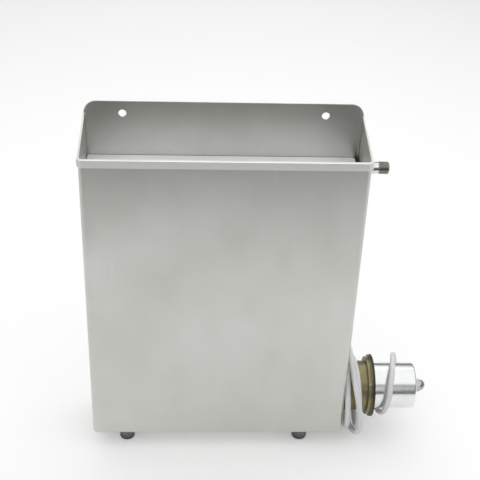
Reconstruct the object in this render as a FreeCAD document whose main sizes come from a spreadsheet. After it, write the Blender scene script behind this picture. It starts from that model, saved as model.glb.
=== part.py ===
"""Wall-hung electric knife sterilizer: a sheet tank with a lift-out knife rack, a side heater and its lead.

Frame in millimetres: X to the right, Y to the wall, Z up. The origin is on the floor under the middle
of the tank. The heater's pieces are turned about an axis along X.
"""

import FreeCAD, Part
import math
import os
import re
import Sketcher
from FreeCAD import Placement, Rotation, Vector

DOCUMENT = FreeCAD.newDocument("KnifeSterilizer")

SIZES = [
    # tank
    ("tank_width", 350.0),
    ("tank_depth", 96.0),
    ("rim_height", 465.0),
    ("rim_rise", 14.0),
    ("back_height", 495.0),
    ("gauge", 1.5),
    ("bend_radius", 5.0),
    ("hem_height", 10.0),
    ("hem_proud", 2.0),
    ("back_corner", 17.0),
    ("wall_hole_radius", 5.0),
    ("wall_hole_spread", 254.0),
    ("wall_hole_drop", 16.5),
    # feet
    ("foot_height", 25.0),
    ("foot_radius", 10.5),
    ("foot_setback", 23.5),
    ("foot_spread", 247.0),
    ("foot_shift", -5.5),
    ("stud_radius", 3.0),
    ("stud_length", 16.0),
    # knife rack
    ("rack_drop", 45.0),
    ("rack_gap_left", 1.0),
    ("rack_gap_right", 5.0),
    ("rack_gap_front", 1.5),
    ("rack_gap_back", 0.7),
    ("rack_board", 8.0),
    ("slot_length", 62.0),
    ("slot_width", 5.0),
    ("rack_margin", 14.0),
    ("slot_row_front", -18.0),
    ("slot_row_back", 8.0),
    ("guide_level", 170.0),
    ("leg_inset", 3.0),
    ("guide_margin", 2.0),
    ("leg_depth", 76.0),
    ("arch_width", 52.0),
    ("arch_height", 85.0),
    ("leg_tab", 8.0),
    ("rest_foot", 12.0),
    ("floor_gap", 0.3),
    ("rivet_radius", 2.0),
    ("finger_radius", 10.0),
    ("finger_inset", 28.0),
    # heater
    ("heater_rise", 48.6),
    ("neck_radius", 35.0),
    ("neck_length", 34.5),
    ("bore_radius", 30.0),
    ("seat_radius", 27.0),
    ("step_radius", 41.0),
    ("step_length", 4.5),
    ("flange_radius", 43.5),
    ("flange_thick", 1.5),
    ("gasket_radius", 44.0),
    ("gasket_thick", 3.0),
    ("seal_thick", 1.5),
    ("head_depth", 10.0),
    ("head_boss_radius", 26.0),
    ("turned_gap", 0.2),
    ("element_radius", 4.0),
    ("element_spread", 12.0),
    ("element_reach", 335.0),
    ("pocket_radius", 4.0),
    ("pocket_rise", 17.0),
    ("pocket_reach", 145.0),
    ("rest_place", -95.0),
    ("ferrule_radius", 7.0),
    ("ferrule_length", 5.0),
    # terminal cap and what it covers
    ("cap_radius", 32.5),
    ("cap_wall", 2.0),
    ("cap_length", 60.5),
    ("cap_bead", 2.0),
    ("bead_length", 2.5),
    ("cap_round", 2.5),
    ("cap_stud_radius", 5.0),
    ("cap_stud_reach", 11.5),
    ("thread_gap", 0.05),
    ("washer_radius", 10.0),
    ("washer_thick", 1.6),
    ("nut_flats", 17.0),
    ("nut_hex", 8.0),
    ("nut_height", 16.5),
    ("control_radius", 9.6),
    ("control_rise", 15.0),
    ("control_length", 25.0),
    ("spindle_radius", 3.0),
    ("knob_radius", 6.0),
    ("knob_length", 6.0),
    ("knob_gap", 0.8),
    ("block_width", 26.0),
    ("block_length", 13.5),
    ("block_top", -12.0),
    ("block_height", 13.0),
    ("terminal_radius", 2.2),
    ("set_screw_radius", 2.0),
    # overflow
    ("overflow_back", 17.0),
    ("overflow_level", 421.7),
    ("overflow_radius", 8.3),
    ("overflow_neck", 7.7),
    ("overflow_bore", 5.5),
    ("overflow_thread", 13.5),
    ("overflow_reach", 33.0),
    ("weld_radius", 10.5),
    ("weld_length", 2.0),
    # lead
    ("lead_radius", 4.0),
    ("boot_place", 9.5),
    ("boot_rise", -1.0),
    ("boot_back", 41.0),
    ("boot_radius", 6.0),
    ("boot_bulb", 7.0),
    ("boot_drop", 20.0),
    ("boot_gap", 0.3),
    ("plug_radius", 19.0),
    ("plug_length", 34.0),
    ("plug_grip", 22.0),
    ("pin_radius", 2.4),
    ("pin_length", 19.0),
    ("pin_spread", 19.0),
]

SHEET = DOCUMENT.addObject("Spreadsheet::Sheet", "Sizes")
for row, (alias, size) in enumerate(SIZES, start=1):
    SHEET.set(f"A{row}", alias)
    SHEET.set(f"B{row}", str(size))
    SHEET.setAlias(f"B{row}", alias)
DOCUMENT.recompute()

ALIASES = sorted((alias for alias, _ in SIZES), key=len, reverse=True)
ALIAS_PATTERN = re.compile(r"\b(" + "|".join(ALIASES) + r")\b")

# Lines that several pieces share, written as expressions of the sizes above.
HALF_WIDTH = "tank_width / 2"
HALF_DEPTH = "tank_depth / 2"
WALL = HALF_WIDTH
BACK_FACE = "(tank_depth / 2 - gauge)"
AXIS_LEVEL = "(foot_height + heater_rise)"
RACK_LEVEL = "(rim_height - rack_drop)"
TANK_FLOOR = "(foot_height + gauge)"
STEP_START = "(tank_width / 2 + neck_length)"
FLANGE_START = "(tank_width / 2 + neck_length + step_length)"
GASKET_START = "(tank_width / 2 + neck_length + step_length + flange_thick)"
CAP_START = "(tank_width / 2 + neck_length + step_length + flange_thick + gasket_thick)"
HEAD_START = "(tank_width / 2 + neck_length + step_length - head_depth)"
SEAL_START = "(tank_width / 2 + neck_length + step_length - head_depth - seal_thick)"
HEAD_END = "(tank_width / 2 + neck_length + step_length + flange_thick + gasket_thick + 1)"
CAP_END = "(tank_width / 2 + neck_length + step_length + flange_thick + gasket_thick + cap_length)"


def tied(expression):
    """An expression with every alias pointed at the sheet."""
    return ALIAS_PATTERN.sub(r"Sizes.\1", str(expression))


PROBE = DOCUMENT.addObject("App::FeaturePython", "Probe")
PROBE.addProperty("App::PropertyFloat", "Value")


def value(expression):
    """The number that an expression of the sizes gives now."""
    return float(PROBE.evalExpression(tied(expression)))


KEPT = []


def keep(piece, label):
    """Names a finished sub-part, which also names its file."""
    piece.Label = label
    KEPT.append(piece)
    return piece


def place(piece, corner):
    """Ties a piece's place to three expressions."""
    for axis, expression in zip("xyz", corner):
        piece.setExpression(f"Placement.Base.{axis}", tied(expression))


def block(name, corner, size):
    """A box from its lowest corner and its three lengths."""
    piece = DOCUMENT.addObject("Part::Box", name)
    for side, expression in zip(("Length", "Width", "Height"), size):
        piece.setExpression(side, tied(expression))
    place(piece, corner)
    return piece


TURNS = {
    "+X": Rotation(Vector(0, 1, 0), 90),
    "-X": Rotation(Vector(0, 1, 0), -90),
    "+Y": Rotation(Vector(1, 0, 0), -90),
    "-Z": Rotation(Vector(1, 0, 0), 180),
    "+Z": Rotation(),
}


def rod(name, start, along, radius, length):
    """A cylinder from its start point along one axis."""
    piece = DOCUMENT.addObject("Part::Cylinder", name)
    piece.Placement = Placement(Vector(), TURNS[along])
    piece.setExpression("Radius", tied(radius))
    piece.setExpression("Height", tied(length))
    place(piece, start)
    return piece


def taper(name, start, along, first_radius, last_radius, length):
    """A cone frustum from its start point along one axis."""
    piece = DOCUMENT.addObject("Part::Cone", name)
    piece.Placement = Placement(Vector(), TURNS[along])
    piece.setExpression("Radius1", tied(first_radius))
    piece.setExpression("Radius2", tied(last_radius))
    piece.setExpression("Height", tied(length))
    place(piece, start)
    return piece


def ball(name, centre, radius):
    """A sphere."""
    piece = DOCUMENT.addObject("Part::Sphere", name)
    piece.setExpression("Radius", tied(radius))
    place(piece, centre)
    return piece


def ring(name, start, along, outer, inner, length):
    """A washer: an outer cylinder less a longer inner one."""
    body = rod(name + "Outer", start, along, outer, length)
    bore = rod(name + "Bore", start, along, inner, length)
    return cut(name, body, bore)


def fuse(name, *pieces):
    """One solid from pieces that touch."""
    joined = DOCUMENT.addObject("Part::MultiFuse", name)
    joined.Shapes = list(pieces)
    joined.Refine = True
    return joined


def cut(name, base, *tools):
    """A piece less one or more tools."""
    tool = tools[0]
    if len(tools) > 1:
        tool = DOCUMENT.addObject("Part::Compound", name + "Tools")
        tool.Links = list(tools)
    trimmed = DOCUMENT.addObject("Part::Cut", name)
    trimmed.Base = base
    trimmed.Tool = tool
    trimmed.Refine = True
    return trimmed


def overlap(name, first, second):
    """What two pieces share."""
    common = DOCUMENT.addObject("Part::Common", name)
    common.Base = first
    common.Tool = second
    return common


def together(name, pieces):
    """Separate solids that share one node."""
    bundle = DOCUMENT.addObject("Part::Compound", name)
    bundle.Links = list(pieces)
    return bundle


def rounded(name, base, radius, chosen):
    """A piece with a fillet on each edge that the test picks."""
    DOCUMENT.recompute()
    size = value(radius)
    eased = DOCUMENT.addObject("Part::Fillet", name)
    eased.Base = base
    eased.Edges = [
        (number, size, size)
        for number, edge in enumerate(base.Shape.Edges, start=1)
        if chosen(edge)
    ]
    return eased


def near(first, second):
    """Whether two lengths are the same place."""
    return abs(first - second) < 0.01


def new_body(name):
    """An empty body."""
    return DOCUMENT.addObject("PartDesign::Body", name)


def plane_of(body, role):
    """One of a body's own origin planes."""
    for feature in body.Origin.OriginFeatures:
        if feature.Role == role:
            return feature
    raise ValueError(role)


def new_sketch(body, name, role):
    """A sketch on one of the body's origin planes."""
    sketch = body.newObject("Sketcher::SketchObject", name)
    sketch.AttachmentSupport = [(plane_of(body, role), "")]
    sketch.MapMode = "FlatFace"
    return sketch


def tie_point(sketch, index, point):
    """Holds the start of one line at two expressions, measured from the sketch's origin."""
    for kind, expression in zip(("DistanceX", "DistanceY"), point):
        number = sketch.addConstraint(Sketcher.Constraint(kind, -1, 1, index, 1, value(expression)))
        sketch.setExpression(f"Constraints[{number}]", tied(expression))


def add_outline(sketch, points):
    """A closed outline of straight lines, each corner tied to two expressions."""
    corners = [Vector(value(across), value(up), 0) for across, up in points]
    first = sketch.GeometryCount
    count = len(corners)
    for step in range(count):
        sketch.addGeometry(Part.LineSegment(corners[step], corners[(step + 1) % count]), False)
    for step in range(count):
        after = first + (step + 1) % count
        sketch.addConstraint(Sketcher.Constraint("Coincident", first + step, 2, after, 1))
    for step, point in enumerate(points):
        tie_point(sketch, first + step, point)


def turned(name, profile):
    """A body turned about the heater's axis from a profile of places along X and radii."""
    body = new_body(name)
    sketch = new_sketch(body, name + "Profile", "XZ_Plane")
    add_outline(sketch, profile)
    revolution = body.newObject("PartDesign::Revolution", name + "Turn")
    revolution.Profile = sketch
    revolution.ReferenceAxis = (sketch, ["H_Axis"])
    revolution.Angle = 360
    body.setExpression("Placement.Base.z", tied(AXIS_LEVEL))
    return body


def rim_line(name, drop, height):
    """A slab whose lower face follows the side rims, the given distance below them."""
    slab = DOCUMENT.addObject("Part::Box", name)
    slab.Placement = Placement(Vector(), Rotation(Vector(1, 0, 0), 1))
    slab.setExpression("Placement.Rotation.Angle", tied("atan(rim_rise / (tank_depth - gauge))"))
    slab.setExpression("Length", tied("tank_width + 4 * hem_height"))
    slab.setExpression("Width", tied("tank_depth + 4 * hem_height"))
    slab.setExpression("Height", tied(height))
    run_in = "hem_height"
    place(
        slab,
        (
            f"-{HALF_WIDTH} - 2 * hem_height",
            f"-{HALF_DEPTH} - {run_in}",
            f"rim_height - {drop} - {run_in} * rim_rise / (tank_depth - gauge)",
        ),
    )
    return slab


def trough(name, grow, low, back, with_floor):
    """A box with the tank's rounded front corners, and its rounded floor edges where it has a floor."""
    box = block(
        name + "Box",
        (f"-{HALF_WIDTH} - ({grow})", f"-{HALF_DEPTH} - ({grow})", low),
        (f"tank_width + 2 * ({grow})", f"{back} + {HALF_DEPTH} + ({grow})", f"back_height - {low}"),
    )
    front = -value(HALF_DEPTH) - value(grow)
    rear = value(back)
    bottom = value(low)

    def bent(edge):
        ends = [vertex.Point for vertex in edge.Vertexes]
        upright = near(ends[0].x, ends[1].x) and near(ends[0].y, ends[1].y)
        if upright:
            return near(ends[0].y, front)
        low_edge = near(ends[0].z, bottom) and near(ends[1].z, bottom)
        at_back = near(ends[0].y, rear) and near(ends[1].y, rear)
        return with_floor and low_edge and not at_back

    return rounded(name, box, f"bend_radius + ({grow})", bent)


def make_tank_shell():
    """Front, sides and floor of one folded sheet, with the rim turned out and down into a hem."""
    skin = trough("ShellSkin", "0", "foot_height", BACK_FACE, True)
    hollow = trough("ShellHollow", "-gauge", TANK_FLOOR, f"({BACK_FACE} + gauge)", True)
    sheet = cut("ShellSheet", skin, hollow)
    hem_skin = trough("HemSkin", "hem_proud", f"({RACK_LEVEL})", BACK_FACE, False)
    hem_hollow = trough("HemHollow", "-gauge", f"({RACK_LEVEL})", f"({BACK_FACE} + gauge)", False)
    hem = overlap(
        "Hem", cut("HemTube", hem_skin, hem_hollow), rim_line("HemBand", "hem_height", "2 * hem_height")
    )
    above_rim = rim_line("AboveRim", "0", "back_height")
    body = cut("ShellRim", fuse("ShellHemmed", sheet, hem), above_rim)
    heater_hole = rod(
        "HeaterHole", (f"{WALL} - 2 * gauge", "0", AXIS_LEVEL), "+X", "seat_radius", "4 * gauge"
    )
    overflow_hole = rod(
        "OverflowHole",
        (f"{WALL} - 2 * gauge", "overflow_back", "overflow_level"),
        "+X",
        "overflow_neck",
        "4 * gauge",
    )
    keep(cut("TankShell", body, heater_hole, overflow_hole), "tank_shell")


def make_back_plate():
    """The flat back sheet, which stands above the rim and carries the two wall holes."""
    body = new_body("BackPlate")
    sketch = new_sketch(body, "BackOutline", "XZ_Plane")
    left, right = f"-{HALF_WIDTH}", HALF_WIDTH
    add_outline(
        sketch,
        [(left, "foot_height"), (right, "foot_height"), (right, "back_height"), (left, "back_height")],
    )
    sheet = body.newObject("PartDesign::Pad", "BackSheet")
    sheet.Profile = sketch
    sheet.Reversed = True
    sheet.setExpression("Length", tied("gauge"))
    body.setExpression("Placement.Base.y", tied(BACK_FACE))
    DOCUMENT.recompute()
    top = value("back_height")
    corners = [
        f"Edge{number}"
        for number, edge in enumerate(sheet.Shape.Edges, start=1)
        if all(near(vertex.Z, top) for vertex in edge.Vertexes) and near(edge.Length, value("gauge"))
    ]
    easing = body.newObject("PartDesign::Fillet", "BackCorners")
    easing.Base = (sheet, corners)
    easing.setExpression("Radius", tied("back_corner"))
    holes = [
        rod(
            f"WallHole{side}",
            (f"{sign} * wall_hole_spread / 2", f"{BACK_FACE} - gauge", "back_height - wall_hole_drop"),
            "+Y",
            "wall_hole_radius",
            "3 * gauge",
        )
        for side, sign in (("Left", -1), ("Right", 1))
    ]
    keep(cut("BackPlateDrilled", body, *holes), "back_plate")


def make_feet():
    """Four rubber buffers on studs that are welded under the tank."""
    studs = []
    for side, sign in (("left", -1), ("right", 1)):
        for row, back in (("front", -1), ("rear", 1)):
            middle = (f"foot_shift + {sign} * foot_spread / 2", f"{back} * ({HALF_DEPTH} - foot_setback)")
            name = f"Foot{row.title()}{side.title()}"
            buffer = rod(name + "Buffer", (*middle, "0"), "+Z", "foot_radius", "foot_height")
            hole = rod(
                name + "Hole",
                (*middle, "foot_height - stud_length - turned_gap"),
                "+Z",
                "stud_radius + turned_gap",
                "stud_length + turned_gap + 1",
            )
            DOCUMENT.recompute()
            eased = rounded(
                name + "Eased", buffer, "stud_radius / 2", lambda edge: near(edge.CenterOfMass.z, 0)
            )
            keep(cut(name, eased, hole), f"foot_{row}_{side}")
            studs.append(
                rod(
                    name + "Stud",
                    (*middle, "foot_height - stud_length"),
                    "+Z",
                    "stud_radius",
                    "stud_length",
                )
            )
    keep(together("FootStuds", studs), "foot_studs")


RACK_LEFT = f"(-{HALF_WIDTH} + gauge + rack_gap_left)"
RACK_RIGHT = f"({HALF_WIDTH} - gauge - rack_gap_right)"
RACK_FRONT = f"(-{HALF_DEPTH} + gauge + rack_gap_front)"
RACK_BACK = f"({BACK_FACE} - rack_gap_back)"
SLOT_PITCH = "((tank_width - rack_margin) / 4)"
RIVET_ROWS = {
    "Front": "(slot_row_front + slot_width / 2 + 2.5 * rivet_radius)",
    "Back": "(slot_row_back + slot_width / 2 + 2.5 * rivet_radius)",
}
SLOT_PLACES = [(column, "slot_row_front") for column in (-1, 0, 1)] + [
    (column, "slot_row_back") for column in (-1.5, -0.5, 0.5, 1.5)
]


def slot_tools(name, level, thick, grow):
    """Cutters with round ends through a plate, one for each knife, in two staggered rows."""
    tools = []
    for number, (column, row) in enumerate(SLOT_PLACES, start=1):
        middle = f"{column} * {SLOT_PITCH}"
        straight = "(slot_length - slot_width) / 2"
        radius = f"(slot_width / 2 + {grow})"
        low = f"{level} - {thick} - gauge"
        through = f"{thick} + 2 * gauge"
        tools.append(
            block(
                f"{name}Slot{number}",
                (f"{middle} - {straight}", f"{row} - {radius}", low),
                (f"2 * {straight}", f"2 * {radius}", through),
            )
        )
        for end, sign in (("A", -1), ("B", 1)):
            tools.append(
                rod(
                    f"{name}Slot{number}{end}",
                    (f"{middle} + {sign} * {straight}", row, low),
                    "+Z",
                    radius,
                    through,
                )
            )
    return tools


def make_rack():
    """The lift-out rack: welded slats on two arched ends, with a slotted guide between them.

    Three slats and the spacers between them leave one slot for each knife.
    """
    blank = block(
        "RackBlank",
        (RACK_LEFT, RACK_FRONT, f"{RACK_LEVEL} - rack_board"),
        (f"{RACK_RIGHT} - {RACK_LEFT}", f"{RACK_BACK} - {RACK_FRONT}", "rack_board"),
    )
    middle_level = value(f"{RACK_LEVEL} - rack_board / 2")
    eased = rounded("RackEased", blank, "2 * gauge", lambda edge: near(edge.CenterOfMass.z, middle_level))
    rivet_run = "rack_board + 2 * gauge"
    fingers = [
        rod(
            f"FingerHole{side}",
            (
                f"{sign} * (tank_width / 2 - finger_inset)",
                "slot_row_front",
                f"{RACK_LEVEL} - rack_board - gauge",
            ),
            "+Z",
            "finger_radius",
            "rack_board + 2 * gauge",
        )
        for side, sign in (("Left", -1), ("Right", 1))
    ]
    rivets = []
    rivet_holes = []
    for side, edge, sign in (("Left", RACK_LEFT, 1), ("Right", RACK_RIGHT, -1)):
        make_rack_end(side, edge, sign)
        for row, back in RIVET_ROWS.items():
            spot = (f"{edge} + {sign} * (leg_inset + (gauge + leg_tab) / 2)", back)
            base = f"{RACK_LEVEL} - rack_board - 2 * gauge"
            shank = rod(f"Rivet{side}{row}", (*spot, base), "+Z", "rivet_radius", rivet_run)
            head = rod(
                f"RivetHead{side}{row}", (*spot, RACK_LEVEL), "+Z", "1.6 * rivet_radius", "rivet_radius / 2"
            )
            tail = rod(
                f"RivetTail{side}{row}",
                (*spot, f"{base} - rivet_radius / 2"),
                "+Z",
                "1.4 * rivet_radius",
                "rivet_radius / 2 + gauge",
            )
            rivets.append(fuse(f"RivetWhole{side}{row}", shank, head, tail))
            rivet_holes.append(rod(f"RivetHole{side}{row}", (*spot, base), "+Z", "rivet_radius", rivet_run))
    slots = slot_tools("Rack", RACK_LEVEL, "rack_board", "0")
    board = cut("RackBoard", eased, *slots, *fingers, *rivet_holes)
    front_row = ("slot_row_front - slot_width / 2", "slot_row_front + slot_width / 2")
    back_row = ("slot_row_back - slot_width / 2", "slot_row_back + slot_width / 2")
    for row, low, high in (
        ("Front", RACK_FRONT, front_row[0]),
        ("Middle", front_row[1], back_row[0]),
        ("Back", back_row[1], RACK_BACK),
    ):
        keep(rack_strip(f"Slat{row}", board, low, high), f"rack_slat_{row.lower()}")
    for row, (low, high) in (("Front", front_row), ("Back", back_row)):
        keep(rack_strip(f"Spacers{row}", board, low, high), f"rack_spacers_{row.lower()}")
    keep(together("RackRivets", rivets), "rack_rivets")
    guide = block(
        "GuideSheet",
        (f"{RACK_LEFT} + leg_inset + gauge", "-leg_depth / 2", "guide_level - gauge"),
        (f"{RACK_RIGHT} - {RACK_LEFT} - 2 * (leg_inset + gauge)", "leg_depth", "gauge"),
    )
    slots = slot_tools("Guide", "guide_level", "gauge", "guide_margin / 2")
    keep(cut("GuidePlate", guide, *slots), "rack_guide")


def rack_strip(name, board, low, high):
    """What the rack's board has between two places on Y."""
    band = block(
        f"{name}Band",
        (RACK_LEFT, low, f"{RACK_LEVEL} - rack_board"),
        (f"{RACK_RIGHT} - {RACK_LEFT}", f"{high} - ({low})", "rack_board"),
    )
    return overlap(name, board, band)


def make_rack_end(side, edge, sign):
    """An upright end with an arch that clears the heater, and a tab under the rack's board."""
    foot = f"{TANK_FLOOR} + floor_gap"
    top = f"({RACK_LEVEL} - rack_board)"
    outer = f"({edge} + {sign} * leg_inset)"
    left = outer if sign > 0 else f"{outer} - gauge"
    upright = block(
        f"End{side}Upright", (left, "-leg_depth / 2", foot), ("gauge", "leg_depth", f"{top} - ({foot})")
    )
    tab_left = outer if sign > 0 else f"{outer} - leg_tab"
    tab = block(
        f"End{side}Tab", (tab_left, "-leg_depth / 2", f"{top} - gauge"), ("leg_tab", "leg_depth", "gauge")
    )
    reach = f"{left} - gauge"
    arch = block(
        f"End{side}Arch", (reach, "-arch_width / 2", TANK_FLOOR), ("3 * gauge", "arch_width", "arch_height")
    )
    crown = rod(
        f"End{side}Crown", (reach, "0", f"{TANK_FLOOR} + arch_height"), "+X", "arch_width / 2", "3 * gauge"
    )
    holes = [
        rod(
            f"End{side}Hole{row}",
            (f"{outer} + {sign} * (gauge + leg_tab) / 2", back, f"{top} - 2 * gauge"),
            "+Z",
            "rivet_radius",
            "3 * gauge",
        )
        for row, back in RIVET_ROWS.items()
    ]
    shape = cut(f"End{side}", fuse(f"End{side}Bent", upright, tab), arch, crown, *holes)
    keep(shape, f"rack_end_{side.lower()}")


SET_SCREW_TURN = -42


def make_socket():
    """The passivated steel socket that is welded round the hole in the right wall."""
    profile = [
        (WALL, "seat_radius"),
        (WALL, "neck_radius"),
        (STEP_START, "neck_radius"),
        (STEP_START, "step_radius"),
        (FLANGE_START, "step_radius"),
        (FLANGE_START, "bore_radius"),
        (SEAL_START, "bore_radius"),
        (SEAL_START, "seat_radius"),
    ]
    socket = turned("SocketBody", profile)
    spot = ("0", "0", AXIS_LEVEL)
    hole = rod("SetScrewHole", spot, "+X", "set_screw_radius", "2 * set_screw_radius")
    screw = rod("SetScrewShank", spot, "+X", "set_screw_radius", "step_radius - bore_radius - turned_gap")
    head = rod("SetScrewHead", spot, "+X", "1.1 * set_screw_radius", "set_screw_radius / 2")
    slot = block(
        "SetScrewSlot",
        ("0", "0", "0"),
        ("4 * set_screw_radius", "set_screw_radius / 3", "set_screw_radius"),
    )
    radial = Rotation(Vector(1, 0, 0), 90 + SET_SCREW_TURN)
    direction = radial.multVec(Vector(0, 0, 1))
    middle = f"({STEP_START} + step_length / 2)"
    set_out(hole, radial, direction, middle, "bore_radius - 1")
    hole.setExpression("Height", tied("step_radius - bore_radius + 2"))
    set_out(screw, radial, direction, middle, "bore_radius + turned_gap")
    set_out(head, radial, direction, middle, "step_radius")
    set_out(
        slot, radial, direction, f"{middle} - 2 * set_screw_radius", "step_radius + set_screw_radius / 4"
    )
    keep(cut("Socket", socket, hole), "heater_socket")
    keep(cut("SetScrew", fuse("SetScrewWhole", screw, head), slot), "socket_set_screw")


def set_out(piece, rotation, direction, along, radius):
    """Puts a piece on a radius of the heater's axis, pointing out along that radius."""
    piece.Placement = Placement(Vector(), rotation)
    place(
        piece,
        (along, f"({radius}) * {direction.y:.9f}", f"{AXIS_LEVEL} + ({radius}) * {direction.z:.9f}"),
    )


def make_head():
    """The brass head that closes the socket, with its seal, flange, gasket and the hairpin element."""
    profile = [
        (HEAD_START, "0"),
        (HEAD_START, "bore_radius - turned_gap"),
        (FLANGE_START, "bore_radius - turned_gap"),
        (FLANGE_START, "head_boss_radius"),
        (HEAD_END, "head_boss_radius"),
        (HEAD_END, "0"),
    ]
    head = turned("HeadBody", profile)
    stud_hole = rod(
        "StudHole", (f"{HEAD_END} - head_depth", "0", AXIS_LEVEL), "+X", "cap_stud_radius", "2 * head_depth"
    )
    keep(cut("Head", head, stud_hole), "heater_head")
    seal = ring(
        "HeadSeal",
        (SEAL_START, "0", AXIS_LEVEL),
        "+X",
        "bore_radius - turned_gap",
        "seat_radius",
        "seal_thick",
    )
    keep(seal, "head_seal")
    flange = ring(
        "Flange",
        (FLANGE_START, "0", AXIS_LEVEL),
        "+X",
        "flange_radius",
        "head_boss_radius + turned_gap",
        "flange_thick",
    )
    keep(flange, "heater_flange")
    gasket = ring(
        "Gasket",
        (GASKET_START, "0", AXIS_LEVEL),
        "+X",
        "gasket_radius",
        "head_boss_radius + turned_gap",
        "gasket_thick",
    )
    keep(gasket, "cap_gasket")
    bend_place = f"({HEAD_START} - element_reach + element_spread + element_radius)"
    legs = [
        rod(
            f"Element{side}",
            (bend_place, f"{sign} * element_spread", AXIS_LEVEL),
            "+X",
            "element_radius",
            f"{HEAD_START} - {bend_place}",
        )
        for side, sign in (("Front", -1), ("Back", 1))
    ]
    bend = DOCUMENT.addObject("Part::Torus", "ElementBend")
    bend.Placement = Placement(Vector(), Rotation(Vector(0, 0, 1), 90))
    bend.setExpression("Radius1", tied("element_spread"))
    bend.setExpression("Radius2", tied("element_radius"))
    bend.Angle3 = 180
    place(bend, (bend_place, "0", AXIS_LEVEL))
    keep(fuse("Element", *legs, bend), "heating_element")
    ferrules = []
    for side, sign in (("Front", -1), ("Back", 1)):
        start = (f"{HEAD_START} - ferrule_length", f"{sign} * element_spread", AXIS_LEVEL)
        ferrules.append(
            ring(f"Ferrule{side}", start, "+X", "ferrule_radius", "element_radius", "ferrule_length")
        )
    keep(together("Ferrules", ferrules), "element_ferrules")
    pocket_level = f"{AXIS_LEVEL} + pocket_rise"
    pocket_end = (f"{HEAD_START} - pocket_reach", "0", pocket_level)
    tube = rod("PocketTube", pocket_end, "+X", "pocket_radius", "pocket_reach")
    tip = ball("PocketTip", pocket_end, "pocket_radius")
    keep(fuse("Pocket", tube, tip), "thermostat_pocket")
    make_element_rest()


def make_element_rest():
    """The saddle that stands on the tank floor and carries the hairpin's far end."""
    wide = "2 * (element_spread + 2 * element_radius)"
    upright = block(
        "RestUpright",
        ("rest_place", f"-({wide}) / 2", TANK_FLOOR),
        ("gauge", wide, f"{AXIS_LEVEL} - {TANK_FLOOR}"),
    )
    foot = block(
        "RestFoot", ("rest_place", f"-({wide}) / 2", TANK_FLOOR), ("rest_foot", wide, "gauge")
    )
    seats = [
        rod(
            f"RestSeat{side}",
            ("rest_place - gauge", f"{sign} * element_spread", AXIS_LEVEL),
            "+X",
            "element_radius + turned_gap",
            "3 * gauge",
        )
        for side, sign in (("Front", -1), ("Back", 1))
    ]
    keep(cut("Rest", fuse("RestBent", upright, foot), *seats), "element_rest")


def make_terminals():
    """What the cap covers: the control with its knob, the terminal block and the earth screw."""
    control_level = f"{AXIS_LEVEL} + control_rise"
    case = rod("ControlCase", (HEAD_END, "0", control_level), "+X", "control_radius", "control_length")
    control_end = f"({HEAD_END} + control_length)"
    spindle_bore = rod(
        "SpindleBore",
        (f"{control_end} - 2 * spindle_radius", "0", control_level),
        "+X",
        "spindle_radius + thread_gap",
        "3 * spindle_radius",
    )
    keep(cut("Control", case, spindle_bore), "thermostat")
    spindle = rod(
        "Spindle",
        (f"{control_end} - 1.8 * spindle_radius", "0", control_level),
        "+X",
        "spindle_radius",
        "1.8 * spindle_radius + knob_gap + knob_length / 2",
    )
    knob = rod(
        "Knob", (f"{control_end} + knob_gap", "0", control_level), "+X", "knob_radius", "knob_length"
    )
    pointer = block(
        "KnobSlot",
        (
            f"{control_end} + knob_gap + 0.7 * knob_length",
            "-knob_radius / 6",
            f"{control_level} - knob_radius",
        ),
        ("knob_length", "knob_radius / 3", "2 * knob_radius"),
    )
    keep(cut("KnobSlotted", fuse("KnobWhole", spindle, knob), pointer), "thermostat_knob")
    low = f"{AXIS_LEVEL} + block_top - block_height"
    base = block(
        "TerminalBase", (HEAD_END, "-block_width / 2", low), ("block_length", "block_width", "block_height")
    )
    screws = []
    wells = []
    for number, column in enumerate((-1, 0, 1), start=1):
        spot = (f"{column} * block_width / 3.2", f"{low} + block_height / 2")
        start = f"{HEAD_END} + block_length - 2 * terminal_radius"
        wells.append(rod(f"Well{number}", (start, *spot), "+X", "terminal_radius", "3 * terminal_radius"))
        screws.append(
            rod(f"Screw{number}", (start, *spot), "+X", "terminal_radius", "2.5 * terminal_radius")
        )
    keep(cut("TerminalBlock", base, *wells), "terminal_block")
    keep(together("TerminalScrews", screws), "terminal_screws")
    earth = (HEAD_END, "-0.72 * head_boss_radius", AXIS_LEVEL)
    washer = rod("EarthBase", earth, "+X", "1.9 * terminal_radius", "terminal_radius / 2")
    stem = rod("EarthStem", earth, "+X", "1.4 * terminal_radius", "2 * terminal_radius")
    keep(fuse("Earth", washer, stem), "earth_screw")


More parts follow.
